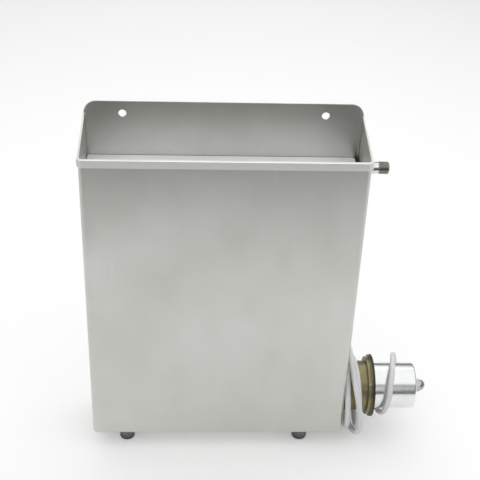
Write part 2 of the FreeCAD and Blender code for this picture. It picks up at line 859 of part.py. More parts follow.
def make_cap():
    """The spun aluminium cap, with a notch at its mouth for the lead's boot, and what holds it on."""
    inside = "(cap_radius - cap_wall)"
    profile = [
        (CAP_START, inside),
        (CAP_START, "cap_radius + cap_bead"),
        (f"{CAP_START} + bead_length", "cap_radius + cap_bead"),
        (f"{CAP_START} + bead_length", "cap_radius"),
        (CAP_END, "cap_radius"),
        (CAP_END, "cap_stud_radius + turned_gap"),
        (f"{CAP_END} - cap_wall", "cap_stud_radius + turned_gap"),
        (f"{CAP_END} - cap_wall", inside),
    ]
    cup = turned("CapBody", profile)
    end = value(CAP_END)
    outer = value("cap_radius")

    def end_edge(edge):
        curve = edge.Curve
        round_edge = curve.TypeId == "Part::GeomCircle"
        return round_edge and near(curve.Radius, outer) and near(curve.Center.x, end)

    eased = rounded("CapEased", cup, "cap_round", end_edge)
    boot_x = f"({CAP_START} + boot_place)"
    level = f"{AXIS_LEVEL} + boot_rise"
    width = "(boot_radius + boot_gap)"
    open_end = block(
        "NotchOpen",
        (f"{CAP_START} - gauge", "cap_radius / 2", f"{level} - {width}"),
        ("boot_place + gauge", "cap_radius", f"2 * {width}"),
    )
    round_end = rod("NotchRound", (boot_x, "cap_radius / 2", level), "+Y", width, "cap_radius")
    keep(cut("Cap", eased, open_end, round_end), "terminal_cap")
    stud_start = f"({HEAD_END} - head_depth)"
    stud = rod(
        "CapStud",
        (stud_start, "0", AXIS_LEVEL),
        "+X",
        "cap_stud_radius",
        f"{CAP_END} + cap_stud_reach - {stud_start}",
    )
    keep(stud, "cap_stud")
    washer = ring(
        "CapWasher",
        (CAP_END, "0", AXIS_LEVEL),
        "+X",
        "washer_radius",
        "cap_stud_radius + turned_gap",
        "washer_thick",
    )
    keep(washer, "cap_washer")
    make_dome_nut()


def make_dome_nut():
    """A hexagon with a domed end over a blind bore, seated on the washer."""
    start = f"({CAP_END} + washer_thick)"
    hexagon = DOCUMENT.addObject("Part::Prism", "NutHex")
    hexagon.Polygon = 6
    hexagon.Placement = Placement(Vector(), TURNS["+X"])
    hexagon.setExpression("Circumradius", tied("nut_flats / sqrt(3)"))
    hexagon.setExpression("Height", tied("nut_hex"))
    place(hexagon, (start, "0", AXIS_LEVEL))
    dome_radius = "(nut_flats / 2 - 0.4)"
    barrel = rod(
        "NutBarrel", (start, "0", AXIS_LEVEL), "+X", dome_radius, f"nut_height - {dome_radius}"
    )
    dome = ball("NutDome", (f"{start} + nut_height - {dome_radius}", "0", AXIS_LEVEL), dome_radius)
    bore = rod(
        "NutBore",
        (f"{start} - gauge", "0", AXIS_LEVEL),
        "+X",
        "cap_stud_radius + thread_gap",
        "cap_stud_reach - washer_thick + gauge + 1",
    )
    lead_in = taper(
        "NutLeadIn",
        (start, "0", AXIS_LEVEL),
        "+X",
        "cap_stud_radius + 1",
        "cap_stud_radius",
        "1",
    )
    keep(cut("DomeNut", fuse("NutWhole", hexagon, barrel, dome), bore, lead_in), "dome_nut")


def make_overflow():
    """The welded overflow pipe with its threaded end, high on the right wall."""
    start = f"({WALL} - gauge)"
    spot = ("overflow_back", "overflow_level")
    neck = rod("OverflowNeck", (start, *spot), "+X", "overflow_neck", "overflow_reach + gauge")
    thread = rod(
        "OverflowThread",
        (f"{WALL} + overflow_reach - overflow_thread", *spot),
        "+X",
        "overflow_radius",
        "overflow_thread",
    )
    DOCUMENT.recompute()
    end = value(f"{WALL} + overflow_reach")
    eased = rounded(
        "OverflowEased", thread, "overflow_radius / 6", lambda edge: near(edge.CenterOfMass.x, end)
    )
    bead = taper("OverflowWeld", (WALL, *spot), "+X", "weld_radius", "overflow_neck", "weld_length")
    bore = rod(
        "OverflowPassage", (f"{start} - 1", *spot), "+X", "overflow_bore", "overflow_reach + 3 * gauge"
    )
    keep(cut("Overflow", fuse("OverflowWhole", neck, eased, bead), bore), "overflow_pipe")


def make_boot():
    """The right-angle rubber boot that brings the lead in through the cap's notch."""
    boot_x = f"({CAP_START} + boot_place)"
    level = f"{AXIS_LEVEL} + boot_rise"
    inner = "0.62 * cap_radius"
    stub = rod("BootStub", (boot_x, inner, level), "+Y", "boot_radius", f"boot_back - {inner}")
    bulb = ball("BootBulb", (boot_x, "boot_back", level), "boot_bulb")
    sleeve = taper(
        "BootSleeve", (boot_x, "boot_back", level), "-Z", "boot_bulb - 0.4", "lead_radius + 1", "boot_drop"
    )
    keep(fuse("Boot", stub, bulb, sleeve), "cord_boot")


# The lead's route from the boot, once round the cap and back behind it to the coil on the neck.
LEAD_ROUTE = [
    (228, 41, 52.6),
    (228, 41, 42.6),
    (228.4, 34.8, 31.8),
    (229.5, 20.5, 26),
    (231, 4, 27.8),
    (232.5, -19.5, 36.8),
    (235, -37, 56.4),
    (238, -41, 81.6),
    (239.5, -33.5, 102.6),
    (243.5, -14, 115.1),
    (247.5, 9, 117.1),
    (252, 30, 106.6),
    (257.5, 44, 88.1),
    (262.5, 54.5, 69.1),
    (262.6, 63, 54.6),
    (256.6, 70.5, 45.5),
    (243.6, 76.5, 40.3),
    (226, 78, 41.5),
    (211, 72, 48),
]

# From the coil's end down to the floor, then behind the tank to the plug.
TAIL_ROUTE = [
    (194.5, 66.5, 20),
    (189, 79, 8.5),
    (178, 92, 4.4),
    (158, 98, 4.4),
    (135, 96, 4.4),
    (112, 90, 6),
    (90, 86.5, 14),
    (69, 85, 19.4),
    (54, 85, 19.4),
]

LEAD_END_RUN = 20

COIL_START = 0.125
COIL_END = 3.0
COIL_STATIONS_PER_TURN = 4
COIL_CENTRE_DROP = 10.7
COIL_INNER_RADIUS = 50.1
COIL_LAYER = 8.7
COIL_SLACK = 3
COIL_LAYER_START = 1.6
COIL_LAYER_END = 2.05
COIL_SLACK_START = 2.3
COIL_SLACK_END = 2.75
COIL_INWARD_PITCH = 15.7
COIL_OUTWARD_PITCH = 8.9
COIL_FIRST_PLACE = 204.5
COIL_WALL_PLACE = 179.5
COIL_LEAN = 18
COIL_LEAN_START = 1.95
COIL_LEAN_FULL = 2.5
COIL_LEAN_BACK = 8
COIL_LEAN_EASE = 2.55
COIL_LEAN_END = 2.95


def ramp(turn, first, last):
    """Rises from 0 to 1 between two turns, smoothly at both ends."""
    share = min(max((turn - first) / (last - first), 0.0), 1.0)
    return share * share * (3 - 2 * share)


def coil_point(turn):
    """Where the coil's middle line is after so many turns from the back of the neck.

    It runs round the neck to the wall, climbs a layer and comes back out. The last turn leans away from the
    wall everywhere but at its top.
    """
    angle = -2 * math.pi * turn
    layer = COIL_LAYER * ramp(turn, COIL_LAYER_START, COIL_LAYER_END)
    slack = COIL_SLACK * ramp(turn, COIL_SLACK_START, COIL_SLACK_END)
    radius = COIL_INNER_RADIUS + layer + slack
    inward = COIL_FIRST_PLACE - COIL_INWARD_PITCH * turn
    outward = COIL_WALL_PLACE + COIL_OUTWARD_PITCH * (turn - COIL_LAYER_END)
    leaning = COIL_LEAN * ramp(turn, COIL_LEAN_START, COIL_LEAN_FULL)
    leaning -= COIL_LEAN_BACK * ramp(turn, COIL_LEAN_EASE, COIL_LEAN_END)
    below_top = 1 - ((1 + math.sin(angle)) / 2) ** 2
    across = max(inward, COIL_WALL_PLACE, outward) + leaning * below_top
    level = value(AXIS_LEVEL) - COIL_CENTRE_DROP
    return Vector(across, radius * math.cos(angle), level + radius * math.sin(angle))


def coil_direction(turn):
    """The coil's direction, which is square to the ends at both ends."""
    angle = -2 * math.pi * turn
    if turn in (COIL_START, COIL_END):
        return Vector(0, math.sin(angle), -math.cos(angle)).normalize()
    step = 0.01
    return (coil_point(turn + step) - coil_point(turn - step)).normalize()


def arc_from(start, direction, end):
    """The arc that leaves the start in a direction and meets the end, and its last direction."""
    chord = end - start
    along = chord.dot(direction)
    last = (chord * (2 * along / chord.dot(chord)) - direction).normalize()
    across = chord - direction * along
    if across.Length < 1e-6:
        return Part.LineSegment(start, end), direction
    radius = chord.dot(chord) / (2 * across.Length)
    centre = start + across.normalize() * radius
    middle = (start + end) * 0.5
    outwards = (middle - centre).normalize()
    if along < 0:
        outwards = outwards * -1
    return Part.Arc(start, centre + outwards * radius, end), last


def biarc(start, start_direction, end, end_direction):
    """Two arcs that join two points and keep the direction at each."""
    span = end - start
    total = start_direction + end_direction
    spread = 2 * (1 - start_direction.dot(end_direction))
    along = span.dot(total)
    reach = span.dot(span) / (2 * along)
    if spread > 1e-9:
        reach = (-along + math.sqrt(along * along + spread * span.dot(span))) / spread
    joint = (start + end + (start_direction - end_direction) * reach) * 0.5
    first, middle_direction = arc_from(start, start_direction, joint)
    second, _ = arc_from(joint, middle_direction, end)
    return [first, second]


def sweep(label, curves, section_radius):
    """A tube along a wire of curves, with its volume held against section times length."""
    wire = Part.Wire([curve.toShape() for curve in curves])
    first = wire.Edges[0]
    start = first.valueAt(first.FirstParameter)
    direction = first.tangentAt(first.FirstParameter)
    section = Part.Wire([Part.makeCircle(section_radius, start, direction)])
    solid = wire.makePipeShell([section], True, False)
    piece = DOCUMENT.addObject("Part::Feature", label.title().replace("_", ""))
    piece.Shape = solid
    expected = math.pi * section_radius**2 * wire.Length
    ratio = solid.Volume / expected
    print(f"{label}: length {wire.Length:.1f} mm, volume over section times length {ratio:.4f}")
    keep(piece, label)
    return wire


ROUND_SHARE = 0.45


def rounded_route(label, points):
    """Straight runs joined by tangent arcs, each as large as its two runs allow."""
    points = [Vector(*point) for point in points]
    curves = []
    radii = []
    here = points[0]
    for before, corner, after in zip(points, points[1:], points[2:]):
        run_in = (corner - before).normalize()
        run_out = (after - corner).normalize()
        turn = run_in.getAngle(run_out)
        reach = ROUND_SHARE * min((corner - before).Length, (after - corner).Length)
        radius = reach / math.tan(turn / 2)
        radii.append(radius)
        arc_start = corner - run_in * reach
        arc_end = corner + run_out * reach
        middle = (arc_start + arc_end) * 0.5
        arc_middle = middle + (corner - middle).normalize() * (radius * (1 - math.cos(turn / 2)))
        curves.append(Part.LineSegment(here, arc_start))
        curves.append(Part.Arc(arc_start, arc_middle, arc_end))
        here = arc_end
    curves.append(Part.LineSegment(here, points[-1]))
    print(label, "radii", " ".join(f"{radius:.0f}" for radius in radii))
    return curves


def make_lead():
    """The lead: its loop round the cap, the coil on the neck, and the tail behind the tank."""
    radius = value("lead_radius")
    coil_in = coil_point(COIL_START) - coil_direction(COIL_START) * (2 * radius)
    coil_out = coil_point(COIL_END) + coil_direction(COIL_END) * (2 * radius)
    run_in = [coil_in - coil_direction(COIL_START) * LEAD_END_RUN, coil_in]
    run_out = [coil_out, coil_out + coil_direction(COIL_END) * LEAD_END_RUN]
    sweep("cord_lead", rounded_route("cord_lead", LEAD_ROUTE + run_in), radius)
    sweep("cord_tail", rounded_route("cord_tail", run_out + TAIL_ROUTE), radius)
    stations = range(1, int(COIL_END * COIL_STATIONS_PER_TURN))
    turns = [COIL_START, *(station / COIL_STATIONS_PER_TURN for station in stations), COIL_END]
    curves = [Part.LineSegment(coil_in, coil_point(COIL_START))]
    for turn, following in zip(turns, turns[1:]):
        curves += biarc(
            coil_point(turn), coil_direction(turn), coil_point(following), coil_direction(following)
        )
    curves.append(Part.LineSegment(coil_point(COIL_END), coil_out))
    wire = sweep("cord_coil", curves, radius)
    samples = wire.discretize(Number=900)
    spacing = wire.Length / (len(samples) - 1)
    apart = int(6 * radius / spacing)
    least = min(
        (samples[one] - samples[other]).Length
        for one in range(len(samples))
        for other in range(one + apart, len(samples))
    )
    print(f"coil: least gap to itself {least - 2 * radius:.2f} mm")


def make_plug():
    """The plug at the lead's far end, lying behind the tank: grip, two pins and the earth clips."""
    x, y, z = TAIL_ROUTE[-1]
    grip = taper(
        "PlugGrip", (str(x), str(y), str(z)), "-X", "lead_radius + 1.5", "0.7 * plug_radius", "plug_grip"
    )
    face = rod(
        "PlugFace",
        (f"{x} - plug_grip", str(y), str(z)),
        "-X",
        "plug_radius - 0.2",
        "plug_length - plug_grip / 2",
    )
    grooves = [
        block(
            f"PlugGroove{side}",
            (f"{x} - plug_grip - plug_length", str(y - 3), f"{z} + {low}"),
            ("plug_length - 4", "6", "4"),
        )
        for side, low in (("Top", "plug_radius - 3"), ("Bottom", "0 - plug_radius - 1"))
    ]
    front = f"({x} - plug_grip - plug_length + plug_grip / 2)"
    keep(cut("PlugBody", fuse("PlugWhole", grip, face), *grooves), "plug_body")
    pins = []
    for side, sign in (("Front", -1), ("Back", 1)):
        start = (front, f"{y} + {sign} * pin_spread / 2", str(z))
        shank = rod(f"Pin{side}", start, "-X", "pin_radius", "pin_length - pin_radius")
        tip = ball(
            f"PinTip{side}", (f"{front} - pin_length + pin_radius", start[1], start[2]), "pin_radius"
        )
        pins.append(fuse(f"PinWhole{side}", shank, tip))
    keep(together("PlugPins", pins), "plug_pins")
    clips = [
        block(
            f"PlugClip{side}",
            (front, str(y - 2), f"{z} + {low}"),
            ("plug_length - plug_grip / 2 - 6", "4", "1.2"),
        )
        for side, low in (("Top", "plug_radius - 2.9"), ("Bottom", "1.7 - plug_radius"))
    ]
    keep(together("PlugClips", clips), "plug_earth_clips")


def check_and_write():
    """Stops on a failed object or a bad shape, then writes one file for each sub-part."""
    DOCUMENT.recompute()
    for item in DOCUMENT.Objects:
        if any(word in item.State for word in ("Invalid", "Error")):
            raise RuntimeError(f"{item.Name} {item.Label} failed: {item.State}")
    os.makedirs("parts", exist_ok=True)
    for piece in KEPT:
        shape = piece.Shape
        if shape.isNull() or not shape.isValid():
            raise RuntimeError(f"{piece.Label} has no valid shape")
        shape.exportStep(f"parts/{piece.Label}.step")
        print(f"{piece.Label}: {len(shape.Solids)} solids, {shape.Volume / 1000:.2f} cm3")


make_tank_shell()
make_back_plate()
make_feet()
make_rack()
make_socket()
make_head()
make_terminals()
make_cap()
make_overflow()
make_boot()
make_lead()
make_plug()
check_and_write()
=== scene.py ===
"""The look of a wall-hung electric knife sterilizer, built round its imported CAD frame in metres."""

import logging
import math
from dataclasses import dataclass, field
from enum import Enum
from functools import cache

import bpy
import numpy as np
from mathutils import Matrix, Vector

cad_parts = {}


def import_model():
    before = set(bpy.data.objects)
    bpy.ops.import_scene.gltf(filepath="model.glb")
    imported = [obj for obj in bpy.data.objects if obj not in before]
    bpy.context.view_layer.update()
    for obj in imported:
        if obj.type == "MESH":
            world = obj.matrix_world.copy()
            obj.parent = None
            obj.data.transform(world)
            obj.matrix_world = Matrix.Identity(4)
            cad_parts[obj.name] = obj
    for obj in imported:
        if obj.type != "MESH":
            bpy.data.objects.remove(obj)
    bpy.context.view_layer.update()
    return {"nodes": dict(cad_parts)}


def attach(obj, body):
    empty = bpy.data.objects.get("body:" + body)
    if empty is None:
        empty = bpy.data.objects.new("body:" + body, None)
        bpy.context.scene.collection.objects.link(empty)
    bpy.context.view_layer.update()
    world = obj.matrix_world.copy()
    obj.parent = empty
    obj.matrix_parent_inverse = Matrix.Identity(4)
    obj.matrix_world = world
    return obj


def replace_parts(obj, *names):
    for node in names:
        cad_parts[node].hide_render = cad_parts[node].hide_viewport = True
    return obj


LOG = logging.getLogger("sterilizer")
MM = 0.001
TANK = "tank"
FINE_OCTAVES = 3.0
COARSE_OCTAVES = 2.0
Grid = np.ndarray
Colour = tuple[float, float, float]
Point = tuple[float, float, float]


class Slot(Enum):
    """The record's material slot names for the new pieces."""

    STAINLESS = "brushed_stainless"
    SILICONE = "lead_silicone"
    PLUG = "plug_moulding"


class Grain(Enum):
    """The axis that a sheet's grain runs along."""

    ACROSS = 0
    UP = 2


class Coordinates(Enum):
    """The Texture Coordinate node's outputs that are read."""

    GENERATED = 0
    OBJECT = 3


class Ray(Enum):
    """The Light Path node's outputs for the rays that may see the pale backdrop."""

    CAMERA = 0
    GLOSSY = 3
    TRANSMISSION = 6


# Node maths


class Value:
    """One socket, or a number, whose operators add Math nodes."""

    def __init__(self, shader: "Shader", socket: object) -> None:
        """Keeps the socket with the shader that it belongs to.

        Args:
            shader: the node tree's builder.
            socket: an output socket or a plain number.
        """
        self.shader = shader
        self.socket = socket

    def _maths(self, operation: str, first: object, second: object, clamp: bool = False) -> "Value":
        """Adds one Math node.

        Args:
            operation: the Math node's operation.
            first: the first operand.
            second: the second operand.
            clamp: keeps the result between 0 and 1.

        Returns:
            The node's result.
        """
        settings = {"operation": operation, "use_clamp": clamp}
        return self.shader.node("ShaderNodeMath", settings, {0: first, 1: second})[0]

    def __add__(self, other: object) -> "Value":
        """The sum."""
        return self._maths("ADD", self, other)

    __radd__ = __add__

    def __mul__(self, other: object) -> "Value":
        """The product."""
        return self._maths("MULTIPLY", self, other)

    __rmul__ = __mul__

    def limited(self) -> "Value":
        """The value kept between 0 and 1."""
        return self._maths("ADD", self, 0.0, clamp=True)


class Shader:
    """Builds the node tree of a material or of the world."""

    def __init__(self, owner: bpy.types.Material | bpy.types.World) -> None:
        """Empties the owner's tree.

        Args:
            owner: the material or the world.
        """
        owner.use_nodes = True
        self.owner = owner
        self.tree = owner.node_tree
        self.tree.nodes.clear()

    def node(
        self, kind: str, settings: dict[str, object], inputs: dict[str | int, object]
    ) -> list[Value]:
        """Adds a node, sets it and joins its inputs.

        Args:
            kind: the node's type name.
            settings: its properties; "stops" fills a colour ramp.
            inputs: values or links by socket name or number.

        Returns:
            The node's outputs in order.
        """
        made = self.tree.nodes.new(kind)
        for key, setting in settings.items():
            if key == "stops":
                self._fill_ramp(made.color_ramp, setting)
            else:
                setattr(made, key, setting)
        for key, given in inputs.items():
            if isinstance(given, Value):
                given = given.socket
            if isinstance(given, bpy.types.NodeSocket):
                self.tree.links.new(given, made.inputs[key])
            else:
                made.inputs[key].default_value = given
        return [Value(self, socket) for socket in made.outputs]

    @staticmethod
    def _fill_ramp(ramp: bpy.types.ColorRamp, stops: tuple[tuple[float, float], ...]) -> None:
        """Puts grey stops on a ramp.

        Args:
            ramp: the ramp with its two first stops.
            stops: place and grey level of each stop.
        """
        while len(ramp.elements) < len(stops):
            ramp.elements.new(0.5)
        for element, (place, level) in zip(ramp.elements, stops):
            element.position = place
            element.color = (level, level, level, 1.0)

    def place(self, scale: Point = (1.0, 1.0, 1.0)) -> Value:
        """Object coordinates, stretched.

        Args:
            scale: the factor along each axis.

        Returns:
            The stretched coordinates.
        """
        coordinates = self.node("ShaderNodeTexCoord", {}, {})[Coordinates.OBJECT.value]
        return self.node("ShaderNodeMapping", {}, {"Vector": coordinates, "Scale": scale})[0]

    def noise(self, scale: float, detail: float, stretch: Point = (1.0, 1.0, 1.0)) -> Value:
        """Noise over the object.

        Args:
            scale: blotches for each metre.
            detail: the number of octaves.
            stretch: the factor along each axis.

        Returns:
            A level about one half.
        """
        inputs = {"Vector": self.place(stretch), "Scale": scale, "Detail": detail}
        return self.node("ShaderNodeTexNoise", {}, inputs)[0]

    def spread(self, level: Value, low: float, high: float) -> Value:
        """Stretches a level's band to 0 to 1.

        Args:
            level: what is stretched.
            low: the level that becomes 0.
            high: the level that becomes 1.

        Returns:
            The stretched level.
        """
        return self.node("ShaderNodeMapRange", {}, {0: level, 1: low, 2: high, 3: 0.0, 4: 1.0})[0]

    def mix(self, share: object, first: object, second: object) -> Value:
        """Mixes two colours, by the Mix node's colour sockets: inputs 6 and 7 and output 2.

        Args:
            share: the second colour's share.
            first: a colour or a link.
            second: a colour or a link.

        Returns:
            The mixed colour.
        """
        settings = {"data_type": "RGBA"}
        inputs = {0: share, 6: colour_of(first), 7: colour_of(second)}
        return self.node("ShaderNodeMix", settings, inputs)[2]

    def seen_by(self, *rays: Ray) -> Value:
        """A mask for some rays: the sum of their flags, kept between 0 and 1.

        Args:
            rays: the rays that count.

        Returns:
            1 for these rays and 0 for the others.
        """
        flags = self.node("ShaderNodeLightPath", {}, {})
        return sum(flags[ray.value] for ray in rays).limited()

    def bump(self, height: Value, depth: float) -> Value:
        """A normal from a height.

        Args:
            height: the height, 0 to 1.
            depth: the full height in metres.

        Returns:
            The bumped normal.
        """
        return self.node("ShaderNodeBump", {}, {"Strength": 1.0, "Distance": depth, "Height": height})[0]

    def close(self, inputs: dict[str, object]) -> bpy.types.Material:
        """Adds the Principled shader and the material's output.

        Args:
            inputs: the shader's values and links.

        Returns:
            The finished material.
        """
        surface = self.node("ShaderNodeBsdfPrincipled", {}, inputs)[0]
        self.node("ShaderNodeOutputMaterial", {}, {"Surface": surface})
        return self.owner


def colour_of(given: object) -> object:
    """Gives a plain colour its alpha.

    Args:
        given: three numbers or a link.

    Returns:
        Four numbers or the link.
    """
    return (*given, 1.0) if isinstance(given, tuple) else given


@dataclass(frozen=True)
class Patches:
    """Noise cut to a band of its levels, which leaves soft-edged patches."""

    scale: float
    detail: float
    low: float
    high: float
    stretch: Point = (1.0, 1.0, 1.0)

    def mask(self, shader: Shader) -> Value:
        """Where the patches are: the noise from the low to the high level, stretched to 0 to 1.

        Args:
            shader: the material's builder.

        Returns:
            0 between the patches and 1 on them.
        """
        noise = shader.noise(self.scale, self.detail, self.stretch)
        return shader.spread(noise, self.low, self.high).limited()


SHEET_CLOUDS = Patches(7.0, 3.0, 0.35, 0.68)
WIPE_MARKS = Patches(26.0, 4.0, 0.52, 0.75, (1.0, 1.0, 0.35))
SCRATCHES = Patches(160.0, 2.0, 0.71, 0.78, (1.0, 1.0, 0.05))
CHROMATE_BLOTCHES = Patches(60.0, 3.0, 0.38, 0.64)
CHROMATE_WEAR = Patches(230.0, 4.0, 0.58, 0.74)
TURNED_STAINS = Patches(45.0, 3.0, 0.4, 0.7)
HANDLING_MARKS = Patches(320.0, 3.0, 0.6, 0.72)
RUBBED_PLACES = Patches(38.0, 4.0, 0.42, 0.66)
DUST = Patches(420.0, 3.0, 0.55, 0.75)


# Finishes


@dataclass(frozen=True)
class BrushedSheet:
    """Satin stainless sheet: a fine grain, a slow cloud of tone, wipe marks and a few scratches.

    The grain, the clouds and the wipe marks add to the roughness. A set hem takes a painted highlight.
    """

    name: str
    colour: Colour = (0.625, 0.632, 0.6)
    tint: Colour = (0.535, 0.54, 0.5)
    grain: Grain = Grain.UP
    roughness: float = 0.26
    grain_scale: float = 1900.0
    grain_stretch: float = 0.02
    grain_depth: float = 0.000012
    grain_relief: float = 0.8
    grain_roughness: float = 0.12
    cloud_share: float = 0.55
    mark_share: float = 0.15
    mark_roughness: float = 0.05
    scratch_tone: Colour = (0.78, 0.78, 0.77)
    scratch_relief: float = 0.2
    hem_half_width: float = 0.0
    hem_front: float = 0.0
    hem_edge: float = 0.001
    # painted highlight: the hem's lighter tone stands in for the light that its flared lip reflects
    hem_painted_highlight: Colour = (0.9, 0.9, 0.89)
    hem_roughness: float = 0.1

    def _fold(self, shader: Shader) -> Value:
        """Where the sheet is the folded hem, which stands proud of the walls, by its distance outwards; the
        hem's painted highlight goes there.

        Args:
            shader: the material's builder.

        Returns:
            1 on the hem and 0 elsewhere.
        """
        across, depth, _ = shader.node("ShaderNodeSeparateXYZ", {}, {0: shader.place()})
        aside = shader.node("ShaderNodeMath", {"operation": "ABSOLUTE"}, {0: across})[0]
        sides = shader.spread(aside, self.hem_half_width - self.hem_edge, self.hem_half_width)
        front = shader.spread(depth, self.hem_front + self.hem_edge, self.hem_front)
        return sides.limited() + front.limited()

    def make(self) -> bpy.types.Material:
        """Builds the material."""
        shader = Shader(bpy.data.materials.new(self.name))
        along = [1.0, 1.0, 1.0]
        along[self.grain.value] = self.grain_stretch
        lines = shader.noise(self.grain_scale, FINE_OCTAVES, tuple(along))
        cloud = SHEET_CLOUDS.mask(shader)
        wipes = WIPE_MARKS.mask(shader)
        scratch = SCRATCHES.mask(shader)
        tone = shader.mix(cloud * self.cloud_share + wipes * self.mark_share, self.colour, self.tint)
        tone = shader.mix(scratch * self.mark_share, tone, self.scratch_tone)
        rough = lines * self.grain_roughness + cloud * self.mark_roughness
        rough = rough + wipes * self.mark_roughness + self.roughness
        if self.hem_half_width:
            fold = self._fold(shader).limited()
            # painted highlight: the hem is lightened to stand in for the light that its flared lip reflects
            tone = shader.mix(fold, tone, self.hem_painted_highlight)
            rough = rough + fold * self.hem_roughness
        relief = lines * self.grain_relief + scratch * self.scratch_relief
        normal = shader.bump(relief, self.grain_depth)
        return shader.close(
            {"Base Color": tone, "Metallic": 1.0, "Roughness": rough, "Normal": normal, "Anisotropic": 0.35}
        )


@dataclass(frozen=True)
class PassivatedSteel:
    """Olive-yellow chromated steel with rainbow blotches and brighter worn places."""

    name: str
    colour: Colour = (0.25, 0.25, 0.12)
    blotch: Colour = (0.27, 0.2, 0.13)
    worn: Colour = (0.42, 0.41, 0.27)
    roughness: float = 0.26
    metallic: float = 0.9
    wear_share: float = 0.6
    blotch_roughness: float = 0.08
    fine_scale: float = 900.0
    fine_roughness: float = 0.12
    fine_relief: float = 0.3
    rings: float = 2600.0
    ring_stretch: Point = (1.0, 0.03, 0.03)
    ring_relief: float = 0.7
    depth: float = 0.00002

    def make(self) -> bpy.types.Material:
        """Builds the material."""
        shader = Shader(bpy.data.materials.new(self.name))
        cloud = CHROMATE_BLOTCHES.mask(shader)
        fine = shader.noise(self.fine_scale, FINE_OCTAVES)
        wear = CHROMATE_WEAR.mask(shader)
        tone = shader.mix(cloud, self.colour, self.blotch)
        tone = shader.mix(wear * self.wear_share, tone, self.worn)
        rings = shader.noise(self.rings, COARSE_OCTAVES, self.ring_stretch)
        rough = fine * self.fine_roughness + cloud * self.blotch_roughness + self.roughness
        relief = rings * self.ring_relief + fine * self.fine_relief
        return shader.close(
            {
                "Base Color": tone,
                "Metallic": self.metallic,
                "Roughness": rough,
                "Normal": shader.bump(relief, self.depth),
            }
        )


@dataclass(frozen=True)
class TurnedMetal:
    """Metal from a lathe: fine rings across its axis, a slow variation and handling marks."""

    name: str
    colour: Colour
    stain: Colour
    roughness: float
    rings: float = 2200.0
    depth: float = 0.00002
    ring_stretch: Point = (1.0, 0.02, 0.02)
    ring_roughness: float = 0.14
    stain_share: float = 0.6
    mark_share: float = 0.3
    mark_roughness: float = 0.1

    def make(self) -> bpy.types.Material:
        """Builds the material."""
        shader = Shader(bpy.data.materials.new(self.name))
        rings = shader.noise(self.rings, COARSE_OCTAVES, self.ring_stretch)
        cloud = TURNED_STAINS.mask(shader)
        marks = HANDLING_MARKS.mask(shader)
        tone = shader.mix(cloud * self.stain_share + marks * self.mark_share, self.colour, self.stain)
        rough = rings * self.ring_roughness + marks * self.mark_roughness + self.roughness
        return shader.close(
            {
                "Base Color": tone,
                "Metallic": 1.0,
                "Roughness": rough,
                "Normal": shader.bump(rings, self.depth),
            }
        )


@dataclass(frozen=True)
class SoftMoulding:
    """Rubber, silicone or matt plastic: an even skin, a fine mould texture, dust and rubbed places."""

    name: str
    colour: Colour
    rubbed: Colour
    roughness: float
    texture: float = 1500.0
    depth: float = 0.00002
    specular: float = 0.45
    skin_roughness: float = 0.1
    rub_share: float = 0.5
    rub_roughness: float = 0.08
    dust_share: float = 0.25
    # darker towards the bottom, from this height down to the base
    darkening_height: float = 0.0
    bottom_dark_tone: Colour = (0.045, 0.05, 0.05)

    def make(self) -> bpy.types.Material:
        """Builds the material."""
        shader = Shader(bpy.data.materials.new(self.name))
        skin = shader.noise(self.texture, FINE_OCTAVES)
        cloud = RUBBED_PLACES.mask(shader)
        dust = DUST.mask(shader)
        tone = shader.mix(cloud * self.rub_share + dust * self.dust_share, self.colour, self.rubbed)
        # darker towards the bottom: the tone ramps to the dark tone from this height down to the base
        if self.darkening_height:
            height = shader.node("ShaderNodeSeparateXYZ", {}, {0: shader.place()})[2]
            tone = shader.mix(shader.spread(height, self.darkening_height, 0.0).limited(), tone, self.bottom_dark_tone)
        rough = skin * self.skin_roughness + cloud * self.rub_roughness + self.roughness
        return shader.close(
            {
                "Base Color": tone,
                "Roughness": rough,
                "Specular IOR Level": self.specular,
                "Normal": shader.bump(skin, self.depth),
            }
        )


Finish = BrushedSheet | PassivatedSteel | TurnedMetal | SoftMoulding

# the tank's sheet, whose hem takes a painted highlight
SHEET = BrushedSheet("satin_sheet", hem_half_width=0.1765, hem_front=-0.0495)
BACK_SHEET = BrushedSheet("satin_back", (0.69, 0.69, 0.68), (0.585, 0.57, 0.535))
RACK_SHEET = BrushedSheet("satin_rack", (0.74, 0.74, 0.74), (0.66, 0.66, 0.655), Grain.ACROSS, 0.22)
WELD = TurnedMetal("weld_metal", (0.5, 0.49, 0.47), (0.3, 0.27, 0.24), 0.28, 900.0, 0.00004)
PASSIVATED = PassivatedSteel("passivated_socket")
DARK_PASSIVATED = PassivatedSteel(
    "passivated_flange", (0.13, 0.115, 0.06), (0.2, 0.17, 0.09), (0.36, 0.33, 0.2)
)
ALUMINIUM = TurnedMetal("turned_cap", (0.84, 0.845, 0.85), (0.74, 0.75, 0.76), 0.14, 1700.0)
NICKEL = TurnedMetal("nickel_plate", (0.72, 0.71, 0.7), (0.55, 0.53, 0.5), 0.1)
NUT_STEEL = TurnedMetal("nut_steel", (0.56, 0.55, 0.54), (0.36, 0.35, 0.33), 0.08)
# painted dark reflection: the thread's metal is darkened to stand in for the dark surroundings it reflects
THREAD_PAINTED_DARK = TurnedMetal("thread_metal_painted_dark", (0.42, 0.405, 0.365), (0.14, 0.13, 0.11), 0.16, 2600.0, 0.00003)
BRASS = TurnedMetal("turned_brass", (0.72, 0.56, 0.28), (0.5, 0.36, 0.18), 0.2)
SHEATH = TurnedMetal("element_sheath", (0.27, 0.27, 0.26), (0.4, 0.36, 0.3), 0.36, 700.0, 0.00004)
BLACK_RUBBER = SoftMoulding("black_rubber", (0.018, 0.018, 0.018), (0.05, 0.05, 0.048), 0.42)
